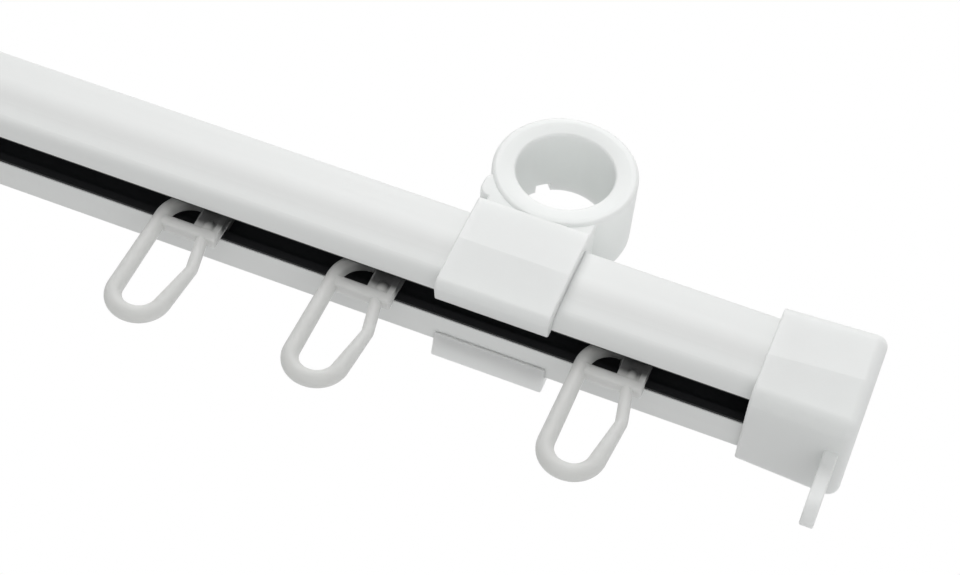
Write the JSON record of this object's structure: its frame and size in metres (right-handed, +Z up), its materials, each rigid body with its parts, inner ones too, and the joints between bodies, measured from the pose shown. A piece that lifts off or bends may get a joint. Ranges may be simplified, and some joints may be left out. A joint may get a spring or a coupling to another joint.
{
  "type": "curtain track",
  "caption": "White slotted curtain track with flared end caps, clip-on brackets that carry a round collar, and loop gliders that slide along the slot.",
  "frame": {"origin": "on the right collar's axis, at the collar's rear face", "axes": "+X along the track to its right end, +Y back to the wall, +Z up"},
  "size_m": [0.604, 0.0256, 0.0782],
  "materials": {
    "track_white": "satin",
    "liner_black": "matt",
    "moulded_white": "satin gloss",
    "glider_white": "satin"
  },
  "bodies": {
    "track": {"track_profile": "track_white", "slide_liner": "liner_black", "end_cap_right": "moulded_white", "end_cap_left": "moulded_white", "bracket_right": "moulded_white", "bracket_left": "moulded_white"},
    "glider_01": {"glider_01": "glider_white"},
    "glider_02": {"glider_02": "glider_white"},
    "glider_03": {"glider_03": "glider_white"},
    "glider_04": {"glider_04": "glider_white"},
    "glider_05": {"glider_05": "glider_white"},
    "glider_06": {"glider_06": "glider_white"},
    "glider_07": {"glider_07": "glider_white"},
    "glider_08": {"glider_08": "glider_white"},
    "glider_09": {"glider_09": "glider_white"},
    "glider_10": {"glider_10": "glider_white"},
    "glider_11": {"glider_11": "glider_white"},
    "glider_12": {"glider_12": "glider_white"}
  },
  "joints": [
    {"name": "glider_01_slide", "type": "slide", "parent": "track", "child": "glider_01", "axis": [1, 0, 0], "range_m": [-0.03715, 0.0195]},
    {"name": "glider_02_slide", "type": "slide", "parent": "track", "child": "glider_02", "axis": [1, 0, 0], "range_m": [-0.02265, 0.03715]},
    {"name": "glider_03_slide", "type": "slide", "parent": "track", "child": "glider_03", "axis": [1, 0, 0], "range_m": [-0.04515, 0.02265]},
    {"name": "glider_04_slide", "type": "slide", "parent": "track", "child": "glider_04", "axis": [1, 0, 0], "range_m": [-0.02826, 0.04515]},
    {"name": "glider_05_slide", "type": "slide", "parent": "track", "child": "glider_05", "axis": [1, 0, 0], "range_m": [-0.02826, 0.02826]},
    {"name": "glider_06_slide", "type": "slide", "parent": "track", "child": "glider_06", "axis": [1, 0, 0], "range_m": [-0.02826, 0.02826]},
    {"name": "glider_07_slide", "type": "slide", "parent": "track", "child": "glider_07", "axis": [1, 0, 0], "range_m": [-0.02826, 0.02826]},
    {"name": "glider_08_slide", "type": "slide", "parent": "track", "child": "glider_08", "axis": [1, 0, 0], "range_m": [-0.02826, 0.02826]},
    {"name": "glider_09_slide", "type": "slide", "parent": "track", "child": "glider_09", "axis": [1, 0, 0], "range_m": [-0.02826, 0.02826]},
    {"name": "glider_10_slide", "type": "slide", "parent": "track", "child": "glider_10", "axis": [1, 0, 0], "range_m": [-0.02826, 0.02826]},
    {"name": "glider_11_slide", "type": "slide", "parent": "track", "child": "glider_11", "axis": [1, 0, 0], "range_m": [-0.02826, 0.02826]},
    {"name": "glider_12_slide", "type": "slide", "parent": "track", "child": "glider_12", "axis": [1, 0, 0], "range_m": [-0.03065, 0.02826]}
  ]
}
